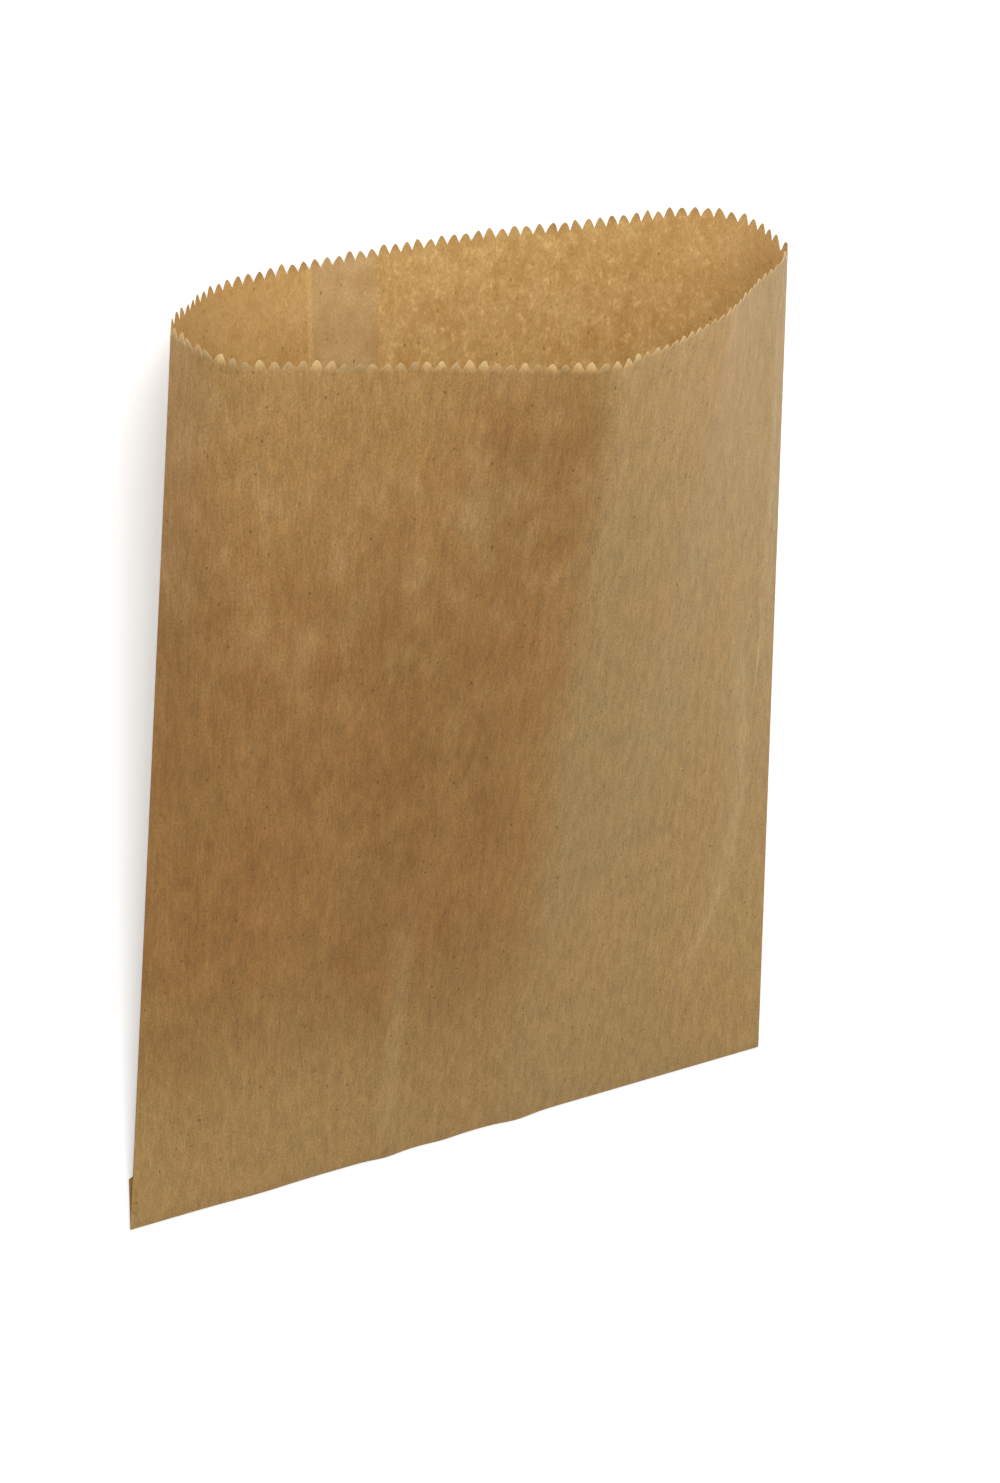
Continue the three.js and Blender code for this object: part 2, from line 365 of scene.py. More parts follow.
def sheet_uv(wall, s, t):
    """Metres across the unrolled tube, back wall first, and up it."""
    return np.stack([s if wall is back else 2 * BAG_WIDTH - s, t], -1) * MM


# Low bumps in the line of the bottom fold: how far each hangs, where, and its width
FOOT_BUMPS = ((0.4, 45, 12), (0.7, 91, 6), (0.4, 112, 6), (0.9, 140, 7))
FOOT_BUMP_REACH = 30


def settle(points, s, t):
    """Lowers the foot of the sheet along its bumps."""
    points = points.copy()
    bumps = sum(drop * ridge(s - place, width) for drop, place, width in FOOT_BUMPS)
    points[..., 2] -= bumps * (1 - smooth_step(t / FOOT_BUMP_REACH))
    return points


def wall_surface(wall, s, t, offset):
    return settle(wall.surface(s, t, offset), s, t)


def wall_grids(wall, s):
    """Outer face, inner face and sheet places of one wall."""
    row, t, s = grid_of(wall, s)
    outer_offset = depth_at(s) if wall is back else np.full(s.shape, PAPER)
    inner_offset = inset_at(s) * (row > 0) if wall is back else np.zeros(s.shape)
    outer_face = wall_surface(wall, s, t, outer_offset)
    inner_face = wall_surface(wall, s, t, inner_offset)
    return outer_face, inner_face, sheet_uv(wall, s, t)


# The outer face's turn about a crease, from one wall's normal (-1) to the other's (1)
CREASE_TURN = np.array([-0.75, -0.4, 0, 0.4, 0.75])


def crease_grids(s, start, end):
    """The outer face turns about the sharp inner corner of a crease."""
    _, t, s_grid = grid_of(back, np.full(len(CREASE_TURN), float(s)))
    n0 = start.normal(s_grid, t)
    n1 = end.normal(s_grid, t)
    middle = np.cross(start.lean(s_grid), n0 - n1)
    middle = middle / np.linalg.norm(middle, axis=-1, keepdims=True)
    outward = 1 if s > 0 else -1
    middle = np.where((middle[..., :1] * outward) < 0, -middle, middle)
    share = CREASE_TURN[None, :, None]
    facing = np.where(share < 0, n0, n1)
    n = middle * (1 - np.abs(share)) + facing * np.abs(share)
    n = n / np.linalg.norm(n, axis=-1, keepdims=True)
    inner = settle(start.point(s_grid, t), s_grid, t)
    across = BAG_WIDTH if s > 0 else np.where(CREASE_TURN <= 0, 2 * BAG_WIDTH, 0)
    uv = np.stack([np.broadcast_to(across, t.shape), t], -1) * MM
    return inner + n * PAPER, inner, uv


columns = across_sheet()
last_back = len(columns) - 1
glued_from = int(np.searchsorted(columns, FLAP_LOOSE))
grids = [
    wall_grids(back, columns),
    crease_grids(BAG_WIDTH, back, front),
    wall_grids(front, columns[::-1]),
    crease_grids(0, front, back),
]
grids.append(tuple(grid[:, :1] for grid in grids[0]))
outer, inner, ring_uv = (np.concatenate(same_kind, 1) for same_kind in zip(*grids))

# Grids of four-sided faces that face out where rows run up and columns run to the right, and lone triangles
OUTSIDE, INSIDE, CUT_EDGE = 0, 1, 2
patches = []
triangles = []


def patch(points, uv, material):
    patches.append((points, uv, material))


def walls():
    """The tube's faces and toothed edge. The glued part of the flap hides the back wall's outer face."""
    above = slice(FLAP_ROWS, None)
    below = slice(0, FLAP_ROWS + 1)
    patch(outer[above], ring_uv[above], OUTSIDE)
    patch(outer[below, :glued_from + 1], ring_uv[below, :glued_from + 1], OUTSIDE)
    patch(outer[below, last_back:], ring_uv[below, last_back:], OUTSIDE)
    patch(inner[:, ::-1], ring_uv[:, ::-1], INSIDE)
    patch(np.stack([outer[-1], inner[-1]]), np.stack([ring_uv[-1], ring_uv[-1]]), CUT_EDGE)


def flap_surface(layers):
    """One face of the flap, this many sheets out from the back wall. Its left corner springs away."""
    row, t, s = grid_of(back, columns, FLAP_ROWS)
    spring = FLAP_SPRING * np.maximum(0, 1 - s / columns[glued_from]) ** 1.5 * row / FLAP_ROWS
    return wall_surface(back, s, t, depth_at(s) + layers * PAPER + spring), sheet_uv(back, s, -t)


flap_out, flap_uv = flap_surface(2)
flap_in, _ = flap_surface(0)


def flap():
    loose = slice(0, glued_from + 1)
    patch(flap_out, flap_uv, OUTSIDE)
    patch(flap_in[:, loose][:, ::-1], flap_uv[:, loose][:, ::-1], INSIDE)
    patch(np.stack([flap_out[-1], flap_in[-1]]), np.stack([flap_uv[-1], flap_uv[-1]]), CUT_EDGE)


def arm(point, hub):
    """Length and angle of the reach from the back wall's foot, seen along the fold."""
    reach = point - hub
    return np.hypot(reach[:, 1], reach[:, 2]), np.arctan2(-reach[:, 2], -reach[:, 1])


def bottom_fold():
    """The sheet turns under the bottom, about the back wall's foot, from the front wall into the flap."""
    hub = outer[0, :last_back + 1]
    foot = np.zeros_like(columns)
    start = wall_surface(front, columns, foot, foot + PAPER)
    end = flap_out[0]
    reach0, angle0 = arm(start, hub)
    reach1, angle1 = arm(end, hub)
    sweep = (angle1 - angle0 + 2 * math.pi) % (2 * math.pi)
    arc = [start]
    for step in range(1, FOLD_STEPS):
        share = step / FOLD_STEPS
        angle = angle0 + sweep * share
        reach = reach0 + (reach1 - reach0) * share
        deep = hub[:, 1] - reach * np.cos(angle)
        high = hub[:, 2] - reach * np.sin(angle)
        arc.append(np.stack([start[:, 0], deep, high], 1))
    arc = np.stack(arc + [end])
    across = np.broadcast_to(2 * BAG_WIDTH - columns, arc.shape[:2])
    patch(arc, np.stack([across, np.zeros(arc.shape[:2])], -1) * MM, OUTSIDE)
    close_end(arc, 0, outer[0, -len(CREASE_TURN) - 1:-1], False)
    close_end(arc, last_back, outer[0, last_back + 1:][:len(CREASE_TURN)][::-1], True)


def close_end(arc, column, crease, flip):
    """Closes one end of the fold and of the flap, at a side crease."""
    hub = outer[0, column]
    ends = [arc[0, column]] + list(crease)
    fans = [(hub, ends[k], ends[k + 1]) for k in range(len(ends) - 1)]
    fans += [(hub, arc[k + 1, column], arc[k, column]) for k in range(FOLD_STEPS)]
    for row in range(FLAP_ROWS):
        a, b = flap_in[row, column], flap_in[row + 1, column]
        c, d = flap_out[row + 1, column], flap_out[row, column]
        fans += [(a, b, c), (a, c, d)]
    triangles.extend(fan[::-1] if flip else fan for fan in fans)


walls()
flap()
bottom_fold()


# The bag lies on its back, resting on its bottom fold and on the belly of its back lip

def rotated(points, angle):
    c, s = math.cos(angle), math.sin(angle)
    x, y, z = points[:, 0], points[:, 1], points[:, 2]
    return np.stack([x, y * c - z * s, y * s + z * c], 1)


def laid_down(points):
    flat = rotated(points, -math.pi / 2)
    near_mouth = flat[:, 1] > BAG_HEIGHT / 2
    low, high = 0.0, math.pi / 4
    for _ in range(TILT_HALVINGS):
        angle = (low + high) / 2
        heights = rotated(flat, angle)[:, 2]
        if heights[near_mouth].min() < heights[~near_mouth].min():
            low = angle
        else:
            high = angle
    points = rotated(flat, angle)
    points[:, 1] -= BOX_MIDDLE
    points[:, 2] -= points[:, 2].min()
    return points * MM


def all_faces():
    """Points, sheet places, faces and materials of all patches and triangles, one after another."""
    points, uvs, faces, slots = [], [], [], []
    count = 0
    for grid, uv, material in patches:
        height, width = grid.shape[:2]
        index = count + np.arange(height * width).reshape(height, width)
        a, b, c, d = index[:-1, :-1], index[:-1, 1:], index[1:, 1:], index[1:, :-1]
        quads = np.stack([d, c, b, a], -1).reshape(-1, 4)
        points.append(grid.reshape(-1, 3))
        uvs.append(uv.reshape(-1, 2))
        faces += quads.tolist()
        slots += [material] * len(quads)
        count += height * width
    for corners in triangles:
        points.append(np.array(corners))
        uvs.append(np.zeros((3, 2)))
        faces.append([count, count + 1, count + 2])
        slots.append(CUT_EDGE)
        count += 3
    return np.concatenate(points), np.concatenate(uvs), faces, slots


def build_mesh():
    """One closed mesh, with the points that coincide merged and the faces that vanish left out."""
    points, uvs, faces, slots = all_faces()
    places = np.round(points * MERGE_GRID).astype(np.int64)
    _, kept, shared = np.unique(places, axis=0, return_index=True, return_inverse=True)
    shared = shared.reshape(-1)
    final_faces, final_uvs, final_slots = [], [], []
    for face, material in zip(faces, slots):
        merged, corners = [], []
        for corner in face:
            if shared[corner] not in merged:
                merged.append(int(shared[corner]))
                corners.append(corner)
        if len(merged) > 2:
            final_faces.append(merged)
            final_uvs += corners
            final_slots.append(material)
    mesh = bpy.data.meshes.new("paper_bag_look")
    mesh.from_pydata(laid_down(points[kept]).tolist(), [], final_faces)
    layer = mesh.uv_layers.new(name="sheet")
    layer.data.foreach_set("uv", uvs[final_uvs].astype(np.float32).ravel())
    mesh.polygons.foreach_set("material_index", np.array(final_slots, dtype=np.int32))
    mesh.polygons.foreach_set("use_smooth", np.ones(len(final_faces), dtype=bool))
    mesh.set_sharp_from_angle(angle=math.radians(SHARP_EDGE))
    mesh.update()
    return mesh


# Kraft paper. Its materials are laid out on the sheet: v is the height above the bottom fold, below 0 on the
# flap, and u runs over the back wall from the left crease (0) to the right one (0.235), then back over the
# front wall to the left crease (0.470).

class Nodes:
    """Short forms for the nodes of one material."""

    def __init__(self, name):
        self.material = bpy.data.materials.new(name)
        self.material.use_nodes = True
        self.tree = self.material.node_tree
        self.tree.nodes.clear()

    def add(self, kind, values=(), **settings):
        node = self.tree.nodes.new(kind)
        for key, value in settings.items():
            setattr(node, key, value)
        for key, value in dict(values).items():
            if isinstance(value, bpy.types.NodeSocket):
                self.tree.links.new(value, node.inputs[key])
            else:
                node.inputs[key].default_value = value
        return node

    def math(self, operation, a, b=0.0, clamp=False):
        return self.add("ShaderNodeMath", {0: a, 1: b}, operation=operation, use_clamp=clamp).outputs[0]

    def times(self, first, *others):
        """Product of its values."""
        for other in others:
            first = self.math("MULTIPLY", first, other)
        return first

    def stronger(self, first, *others):
        """Greatest of its values."""
        for other in others:
            first = self.math("MAXIMUM", first, other)
        return first

    def ramp(self, value, low, high):
        """0 on low's side, 1 on high's, smooth between. High may be the lower number."""
        node = self.add("ShaderNodeMapRange", {"Value": value, "From Min": low, "From Max": high},
                        interpolation_type="SMOOTHSTEP")
        return node.outputs[0]

    def window(self, value, rise, full, fade, end):
        """1 between full and fade, falling smoothly to 0 at rise and at end."""
        return self.times(self.ramp(value, rise, full), self.ramp(value, end, fade))

    def slope(self, value, low, high, at_low, at_high):
        """Runs evenly from at_low to at_high."""
        node = self.add("ShaderNodeMapRange", {"Value": value, "From Min": low, "From Max": high,
                                               "To Min": at_low, "To Max": at_high})
        return node.outputs[0]

    def sheet_uv(self):
        return self.add("ShaderNodeUVMap", uv_map="sheet").outputs[0]

    def sheet_place(self):
        place = self.add("ShaderNodeSeparateXYZ", {0: self.sheet_uv()})
        return place.outputs[0], place.outputs[1]

    def stretched(self, across, along, turn=0.0):
        """Sheet coordinates scaled so that one unit is across by along metres."""
        scale = (1 / across, 1 / along, 1)
        mapping = self.add("ShaderNodeMapping", {"Vector": self.sheet_uv(), "Rotation": (0, 0, turn),
                                                 "Scale": scale})
        return mapping.outputs[0]

    def noise(self, across, along, detail=2.0, rough=0.5, seed=0.0):
        """Cloudy pattern whose spots are about across by along metres."""
        values = {"Vector": self.stretched(across, along), "W": seed, "Scale": 1.0, "Detail": detail,
                  "Roughness": rough}
        return self.add("ShaderNodeTexNoise", values, noise_dimensions="4D").outputs["Fac"]

    def mix(self, share, a, b, blend="MIX"):
        node = self.add("ShaderNodeMix", {0: share, 6: a, 7: b}, data_type="RGBA", blend_type=blend)
        return node.outputs[2]

    def dappled(self, colour, field, low, high, amount):
        """Lightens and darkens a colour by up to amount, with a noise field."""
        dim = self.mix(self.ramp(field, low, high), (1 - amount,) * 3 + (1,), (1 + amount,) * 3 + (1,))
        return self.mix(1.0, colour, dim, "MULTIPLY")

    def finish(self, shader):
        self.add("ShaderNodeOutputMaterial", {"Surface": shader})
        return self.material


def linear(red, green, blue):
    """Scene colour of a screen colour, given from 0 to 255."""
    return tuple(((c / 255 + 0.055) / 1.055) ** 2.4 for c in (red, green, blue)) + (1.0,)


# Where the tones lie on the sheet, in metres: ACROSS along u and UP along v. Two numbers run from no tone to
# the full one. Of four numbers, the tone is full between the middle two.
LEFT_OF_RIDGE = (0.334, 0.350)
RIGHT_OF_RIDGE = (0.350, 0.334)
# Left of the soft ridge at half height the face is darker and redder: partly the paper's tone, partly
# painted shade
STAIN_AND_SHADE_ACROSS = (0.315, 0.375)
STAIN_AND_SHADE_UP = (0.02, 0.07, 0.18, 0.31)
RIDGE_STAIN_AND_SHADE_ACROSS = (0.334, 0.346, 0.37, 0.40)
RIDGE_STAIN_AND_SHADE_UP = (0.12, 0.21, 0.27, 0.312)
PALE_UP = (0.15, 0.26)
BOTTOM_UP = (0.10, 0.03)
FLAP_UP = (0.0, -0.002)
# Where painted shade darkens the front's right panel
PANEL_SHADE_ACROSS = (0.245, 0.285)
PANEL_SHADE_UP = (0.05, 0.12, 0.22, 0.32)
# Where painted shade darkens the front towards its right edge
RIGHT_EDGE_SHADE_ACROSS = (0.285, 0.245)
RIGHT_EDGE_SHADE_UP = (0.03, 0.12)
TOOTH_TIPS_UP = (0.2975, 0.3014)
# Heights of the curved crease's pale line, partly wear and partly painted highlight
CREASE_WEAR_AND_HIGHLIGHT_UP = (0.032, 0.055, 0.15, 0.185)
SEAM_WEAR_ACROSS = (0.3785, 0.3815, 0.3845, 0.3885)
SEAM_WEAR_UP = (0.0, 0.02, 0.07, 0.12)
EDGE_WEAR_ACROSS = (0.2440, 0.2460, 0.2475, 0.2500)
EDGE_WEAR_UP = (0.15, 0.17, 0.26, 0.298)
SCRATCH_ACROSS = (0.2470, 0.2473, 0.2476, 0.2480)
SCRATCH_UP = (0.145, 0.15, 0.17, 0.18)
# Where painted shade darkens the inner face by the left crease
LEFT_CREASE_SHADE_ACROSS = (0.09, 0.0)
# Where painted light brightens the inner face by the right crease
RIGHT_CREASE_LIGHT_ACROSS = (0.192, 0.230)
GLUED_STRIP_ACROSS = (0.0702, 0.0716, 0.0929, 0.0931)
GLUED_LIP_ACROSS = (0.0688, 0.0700, 0.0704, 0.0716)

# Colours of the outer face
RIGHT_KRAFT = linear(166, 132, 83)
LEFT_KRAFT = linear(166, 128, 77)
# Partly the paper's reddish tone, partly painted shade
LEFT_STAIN_AND_SHADE = linear(141, 101, 56)
PALE_CLOUD = linear(188, 156, 110)
BOTTOM_KRAFT = linear(158, 129, 81)
# Painted shade: the flap's paper is tinted darker and redder
FLAP_PAINTED_SHADE = linear(138, 96, 62)
# Painted shade on the front's right panel
RIGHT_PANEL_PAINTED_SHADE = linear(152, 125, 80)
# Painted shade along the front's right edge
RIGHT_EDGE_PAINTED_SHADE = linear(152, 126, 82)
# Pale colour of wear, and along the curved crease partly a painted highlight
WORN_AND_HIGHLIT_KRAFT = linear(206, 180, 132)
OUTSIDE_TIPS = linear(218, 188, 136)
REDDER = (1.015, 0.99, 0.985, 1)
GREENER = (0.985, 1.01, 1.0, 1)

# Colours of the inner face
DARK_INSIDE = linear(171, 135, 79)
LIGHT_INSIDE = linear(185, 152, 98)
INSIDE_FLECK = linear(210, 178, 126)
# Painted shade: the inner face made darker towards the left crease
INSIDE_PAINTED_SHADE_BY_LEFT_CREASE = linear(166, 130, 80)
# Painted light: the inner face made paler towards the right crease
INSIDE_PAINTED_LIGHT_BY_RIGHT_CREASE = linear(220, 182, 122)
DARK_GLUED = linear(167, 136, 92)
LIGHT_GLUED = linear(181, 151, 107)
GLUED_LIP = linear(212, 178, 118)
# Painted shade on the inner face's tooth tips, where the cut edges lie in shade
INSIDE_TIPS_PAINTED_SHADE = linear(150, 118, 78)

SPECK = linear(74, 48, 28)
DARK_CUT = linear(190, 156, 108)
LIGHT_CUT = linear(226, 200, 156)

# The curved crease runs along an arc and is paler there, partly with wear and partly with a painted
# highlight: its middle as (s, t) on the front, and its radius, in metres
CREASE_ARC_CENTRE = (0.0698, 0.1202)
CREASE_ARC_RADIUS = 0.1520


def specks(n, size, amount, turn, stretch=1.0):
    """Sparse dark bits in the pulp: a few of the cells of the sheet hold one."""
    cells = n.add("ShaderNodeTexVoronoi", {"Vector": n.stretched(size, size * stretch, turn), "Scale": 1.0},
                  voronoi_dimensions="2D")
    pick = n.add("ShaderNodeSeparateColor", {0: cells.outputs["Color"]})
    near = n.ramp(cells.outputs["Distance"], 0.22, 0.08)
    chosen = n.math("GREATER_THAN", pick.outputs[0], 1 - amount)
    return n.times(near, chosen, pick.outputs[1])


def finish_paper(n, colour, tip_fibres_and_shade, tip_share, height, rough, gloss):
    """Specks, the torn fibres along the teeth (on the inner face, painted shade of the teeth's tips), and
    the relief of the pulp.
    """
    bits = n.stronger(specks(n, 0.0012, 0.05, 0.4), specks(n, 0.0023, 0.06, 1.1, 1.5))
    colour = n.mix(n.times(bits, 0.6), colour, SPECK)
    _, v = n.sheet_place()
    edge = n.math("ADD", v, n.times(n.noise(0.0022, 0.004, seed=9.0), 0.0030))
    # Pale torn fibres at the tooth tips of the outer face; painted shade at those of the inner face
    colour = n.mix(n.times(n.ramp(edge, *TOOTH_TIPS_UP), tip_share), colour, tip_fibres_and_shade)
    bump = n.add("ShaderNodeBump", {"Height": height, "Strength": 0.6, "Distance": 0.00012})
    shader = n.add("ShaderNodeBsdfPrincipled", {"Base Color": colour, "Roughness": rough,
                                                "Specular IOR Level": gloss, "Normal": bump.outputs[0]})
    return n.finish(shader.outputs[0])


def crease_wear_and_highlight(n, u, v):
    """Pale line along the curved crease near the front's right edge: partly wear, partly a painted
    highlight.
    """
    across = n.math("SUBTRACT", 2 * BAG_WIDTH * MM - CREASE_ARC_CENTRE[0], u)
    up = n.math("SUBTRACT", v, CREASE_ARC_CENTRE[1])
    away = n.math("SQRT", n.math("ADD", n.times(across, across), n.times(up, up)))
    off_line = n.math("ABSOLUTE", n.math("SUBTRACT", away, CREASE_ARC_RADIUS))
    streaks = n.ramp(n.noise(0.002, 0.014, 3.0, 0.6, seed=12.0), 0.35, 0.65)
    broad = n.times(n.ramp(off_line, 0.0060, 0.0005), 0.12)
    thin = n.times(n.ramp(off_line, 0.0012, 0.0002), 0.12, streaks)
    along = n.times(n.window(v, *CREASE_WEAR_AND_HIGHLIGHT_UP), n.ramp(across, 0.02, 0.04))
    return n.times(n.math("ADD", broad, thin), along)


def worn_upright(n, u, v):
    """Faint upright wear: over the seam's edge low on the front, and near the right edge higher up."""
    wavy = n.math("ADD", u, n.times(n.noise(0.05, 0.04, seed=13.0), 0.006))
    over_seam = n.times(n.window(wavy, *SEAM_WEAR_ACROSS), n.window(v, *SEAM_WEAR_UP))
    right = n.times(n.window(wavy, *EDGE_WEAR_ACROSS), n.window(v, *EDGE_WEAR_UP))
    scratch = n.times(n.window(wavy, *SCRATCH_ACROSS), n.window(v, *SCRATCH_UP))
    return n.stronger(n.times(n.stronger(over_seam, right), 0.10), n.times(scratch, 0.3))


def outside_tones(n, u, v, clouds):
    """Broad tones of the outer face and painted shade: warmer and darker left of the soft ridge, most so at
    half height.
    """
    wavy = n.math("ADD", u, n.times(n.noise(0.02, 0.05, seed=3.0), 0.012))
    colour = n.mix(n.ramp(wavy, *LEFT_OF_RIDGE), RIGHT_KRAFT, LEFT_KRAFT)
    # Darker, redder patch left of the ridge and by it: partly the paper's tone, partly painted shade
    left_half = n.times(n.ramp(wavy, *STAIN_AND_SHADE_ACROSS), n.window(v, *STAIN_AND_SHADE_UP))
    by_ridge = n.times(n.window(wavy, *RIDGE_STAIN_AND_SHADE_ACROSS), n.window(v, *RIDGE_STAIN_AND_SHADE_UP), 0.75)
    stain_and_shade = n.times(n.stronger(left_half, by_ridge), n.ramp(clouds, 1.3, -0.4))
    colour = n.mix(n.math("MULTIPLY", stain_and_shade, 1.65, clamp=True), colour, LEFT_STAIN_AND_SHADE)
    pale = n.times(n.ramp(clouds, 0.45, 0.75), n.ramp(v, *PALE_UP))
    colour = n.mix(n.times(pale, 0.34), colour, PALE_CLOUD)
    colour = n.mix(n.times(n.ramp(v, *BOTTOM_UP), 0.5), colour, BOTTOM_KRAFT)
    # The flap gets a darker, redder tint of painted shade
    colour = n.mix(n.times(n.ramp(v, *FLAP_UP), 0.25), colour, FLAP_PAINTED_SHADE)
    # Painted shade darkens the front's right panel at mid height
    right_panel_shade = n.times(n.ramp(wavy, *RIGHT_OF_RIDGE), n.ramp(u, *PANEL_SHADE_ACROSS), n.window(v, *PANEL_SHADE_UP))
    colour = n.mix(n.times(right_panel_shade, 0.62), colour, RIGHT_PANEL_PAINTED_SHADE)
    # Painted shade darkens the front towards its right edge
    right_edge_shade = n.times(n.ramp(u, *RIGHT_EDGE_SHADE_ACROSS), n.ramp(v, *RIGHT_EDGE_SHADE_UP))
    return n.mix(n.times(right_edge_shade, 0.65), colour, RIGHT_EDGE_PAINTED_SHADE)


def outside_paper():
    """The machine-smooth outer face, with fine upright fibres."""
    n = Nodes("kraft_outside")
    u, v = n.sheet_place()
    clouds = n.noise(0.013, 0.024, 3.0, 0.6)
    mottle = n.noise(0.0028, 0.0105, 3.0, 0.6, seed=2.0)
    fibres = n.noise(0.0007, 0.0042, 3.0, 0.65, seed=4.0)
    grain = n.noise(0.0006, 0.0009, 2.0, 0.6, seed=6.0)
    hue = n.noise(0.028, 0.045, seed=11.0)
    colour = outside_tones(n, u, v, clouds)
    # Pale marks: wear, and along the curved crease partly a painted highlight
    wear_and_highlight = n.stronger(crease_wear_and_highlight(n, u, v), worn_upright(n, u, v))
    colour = n.mix(wear_and_highlight, colour, WORN_AND_HIGHLIT_KRAFT)
    colour = n.mix(1.0, colour, n.mix(n.ramp(hue, 0.3, 0.7), REDDER, GREENER), "MULTIPLY")
    colour = n.dappled(colour, mottle, 0.25, 0.75, 0.13)
    colour = n.dappled(colour, fibres, 0.25, 0.75, 0.13)
    colour = n.dappled(colour, grain, 0.3, 0.7, 0.15)
    height = n.math("ADD", n.times(fibres, 0.8), n.times(mottle, 0.8))
    return finish_paper(n, colour, OUTSIDE_TIPS, 0.62, height, 0.55, 0.15)


def inside_paper():
    """The rough, golden inner face, with the greyer glued strip of the seam behind a pale cut edge, painted
    shade by the left crease and painted light by the right one.
    """
    n = Nodes("kraft_inside")
    u, v = n.sheet_place()
    clouds = n.noise(0.009, 0.014, 3.0, 0.6, seed=1.0)
    mottle = n.noise(0.0026, 0.0036, 4.0, 0.65, seed=5.0)
    fibres = n.noise(0.0009, 0.0019, 3.0, 0.65, seed=7.0)
    grain = n.noise(0.0006, 0.0009, 2.0, 0.6, seed=8.0)
    colour = n.mix(n.ramp(clouds, 0.3, 0.7), DARK_INSIDE, LIGHT_INSIDE)
    fleck_share = n.slope(u, 0.055, 0.10, 0.05, 0.5)
    colour = n.mix(n.times(n.ramp(mottle, 0.52, 0.72), fleck_share), colour, INSIDE_FLECK)
    colour = n.dappled(colour, mottle, 0.28, 0.72, 0.10)
    colour = n.dappled(colour, fibres, 0.25, 0.75, 0.11)
    # Painted shade darkens the inner face towards the left crease
    colour = n.mix(n.times(n.ramp(u, *LEFT_CREASE_SHADE_ACROSS), 0.6), colour, INSIDE_PAINTED_SHADE_BY_LEFT_CREASE)
    # Painted light brightens the inner face towards the right crease
    colour = n.mix(n.times(n.ramp(u, *RIGHT_CREASE_LIGHT_ACROSS), 0.6), colour, INSIDE_PAINTED_LIGHT_BY_RIGHT_CREASE)
    glued = n.mix(n.ramp(clouds, 0.35, 0.65), DARK_GLUED, LIGHT_GLUED)
    colour = n.mix(n.times(n.window(u, *GLUED_STRIP_ACROSS), 0.78), colour, glued)
    colour = n.mix(n.times(n.window(u, *GLUED_LIP_ACROSS), 0.3), colour, GLUED_LIP)
    colour = n.dappled(colour, grain, 0.3, 0.7, 0.12)
    height = n.math("ADD", n.times(fibres, 0.8), mottle)
    # The inner face's tooth tips get painted shade
    return finish_paper(n, colour, INSIDE_TIPS_PAINTED_SHADE, 0.4, height, 0.9, 0.1)


def cut_paper():
    """The fibrous cut edge of the sheet."""
    n = Nodes("kraft_cut_edge")
    colour = n.mix(n.noise(0.001, 0.001), DARK_CUT, LIGHT_CUT)
    shader = n.add("ShaderNodeBsdfPrincipled", {"Base Color": colour, "Roughness": 0.9})
    return n.finish(shader.outputs[0])


bag_mesh = build_mesh()
for paper in (outside_paper(), inside_paper(), cut_paper()):
    bag_mesh.materials.append(paper)
bag = bpy.data.objects.new("bag_paper", bag_mesh)
bpy.context.scene.collection.objects.link(bag)
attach(bag, "root")
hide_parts("paper_bag")


# Floor, light and camera

FLOOR_HALF = 6.0
FLOOR_COLOUR = (0.8, 0.8, 0.8, 1)
FLOOR_WHITER_FROM = 0.3
FLOOR_WHITER_TO = 1.6
FLOOR_GLOW_NEAR = 0.38
FLOOR_GLOW_FAR = 0.9
WHITE = (1, 1, 1, 1)
SKY_STRENGTH = 0.3
LAMP_AIM = (0, 0, 0.03)


def floor():
    """A pale floor that keeps the bag's shadow and turns white away from it.
    Its glow is only seen, and lights nothing."""
    n = Nodes("floor_white")
    diffuse = n.add("ShaderNodeBsdfDiffuse", {"Color": FLOOR_COLOUR})
    place = n.add("ShaderNodeNewGeometry").outputs["Position"]
    from_bag = n.add("ShaderNodeVectorMath", {0: place}, operation="LENGTH").outputs["Value"]
    strength = n.slope(from_bag, FLOOR_WHITER_FROM, FLOOR_WHITER_TO, FLOOR_GLOW_NEAR, FLOOR_GLOW_FAR)
    glow = n.add("ShaderNodeEmission", {"Color": WHITE, "Strength": strength})
    both = n.add("ShaderNodeAddShader", {0: diffuse.outputs[0], 1: glow.outputs[0]})
    path = n.add("ShaderNodeLightPath").outputs
    seen = n.stronger(path["Is Camera Ray"], path["Is Glossy Ray"], path["Is Transmission Ray"])
    surface = n.add("ShaderNodeMixShader", {0: seen, 1: diffuse.outputs[0], 2: both.outputs[0]})
    mesh = bpy.data.meshes.new("floor")
    h = FLOOR_HALF
    mesh.from_pydata([(-h, -h, 0), (h, -h, 0), (h, h, 0), (-h, h, 0)], [], [(0, 1, 2, 3)])
    mesh.materials.append(n.finish(surface.outputs[0]))
    plane = bpy.data.objects.new("floor", mesh)
    bpy.context.scene.collection.objects.link(plane)


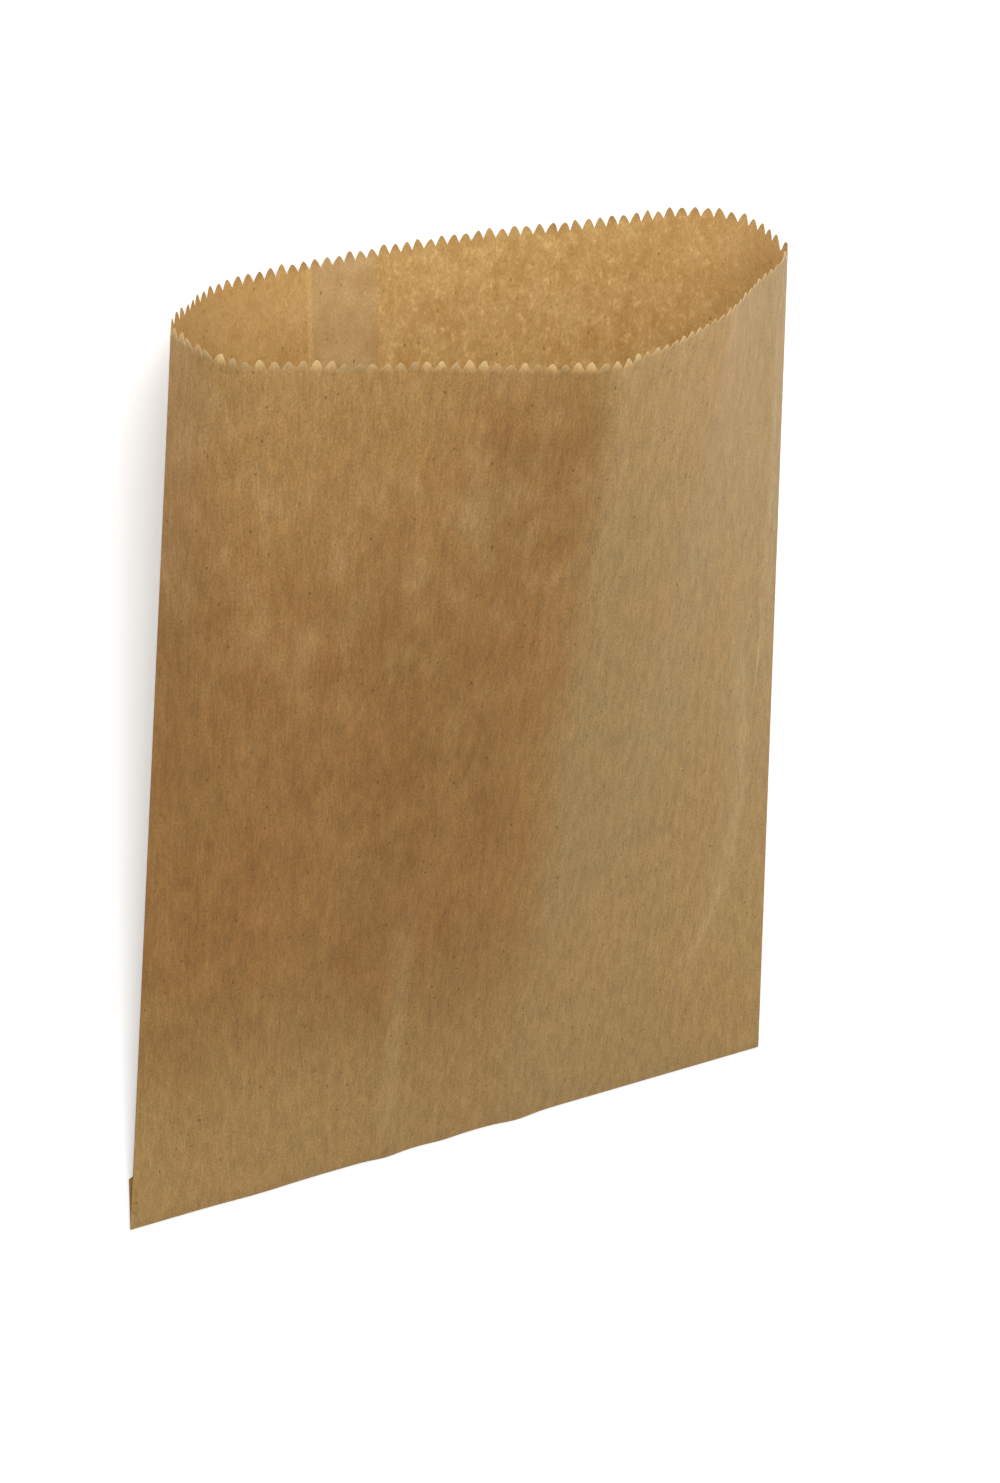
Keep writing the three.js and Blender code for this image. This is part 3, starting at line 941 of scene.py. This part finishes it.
def lamp(name, at, aim, size, power):
    data = bpy.data.lights.new(name, "AREA")
    data.shape = "DISK"
    data.size = size
    data.energy = power
    light = bpy.data.objects.new(name, data)
    bpy.context.scene.collection.objects.link(light)
    light.location = at
    light.rotation_euler = (Vector(aim) - Vector(at)).to_track_quat("-Z", "Y").to_euler()


def sky():
    """Soft light from all round, and white where it is seen."""
    world = bpy.data.worlds.new("studio")
    world.use_nodes = True
    tree = world.node_tree
    tree.nodes.clear()
    path = tree.nodes.new("ShaderNodeLightPath").outputs
    seen = path["Is Camera Ray"]
    for ray in ("Is Glossy Ray", "Is Transmission Ray"):
        either = tree.nodes.new("ShaderNodeMath")
        either.operation = "MAXIMUM"
        tree.links.new(seen, either.inputs[0])
        tree.links.new(path[ray], either.inputs[1])
        seen = either.outputs[0]
    mix = tree.nodes.new("ShaderNodeMixShader")
    tree.links.new(seen, mix.inputs[0])
    for place, strength in ((1, SKY_STRENGTH), (2, 1.0)):
        background = tree.nodes.new("ShaderNodeBackground")
        background.inputs["Color"].default_value = WHITE
        background.inputs["Strength"].default_value = strength
        tree.links.new(background.outputs[0], mix.inputs[place])
    out = tree.nodes.new("ShaderNodeOutputWorld")
    tree.links.new(mix.outputs[0], out.inputs[0])
    bpy.context.scene.world = world


def camera():
    data = bpy.data.cameras.new("photo")
    data.lens = CAMERA_LENS
    data.sensor_width = CAMERA_SENSOR
    data.sensor_fit = "AUTO"
    data.clip_end = CAMERA_CLIP_END
    view = bpy.data.objects.new("photo", data)
    bpy.context.scene.collection.objects.link(view)
    back_axis = (Vector(CAMERA_AT) - Vector(CAMERA_AIM)).normalized()
    right = Vector(CAMERA_UP).cross(back_axis).normalized()
    up = back_axis.cross(right)
    turn = Matrix((right, up, back_axis)).transposed().to_4x4()
    view.matrix_world = Matrix.Translation(CAMERA_AT) @ turn
    bpy.context.scene.camera = view


floor()
sky()
lamp("mouth_side", (-0.05, 0.87, 0.63), (0, 0.1, 0.03), 0.7, 10.5)
lamp("right", (2.4, -0.1, 1.0), LAMP_AIM, 1.6, 31)
lamp("left", (-1.3, 0.5, 1.7), LAMP_AIM, 1.6, 15)
camera()
bpy.context.scene.view_settings.view_transform = "Standard"
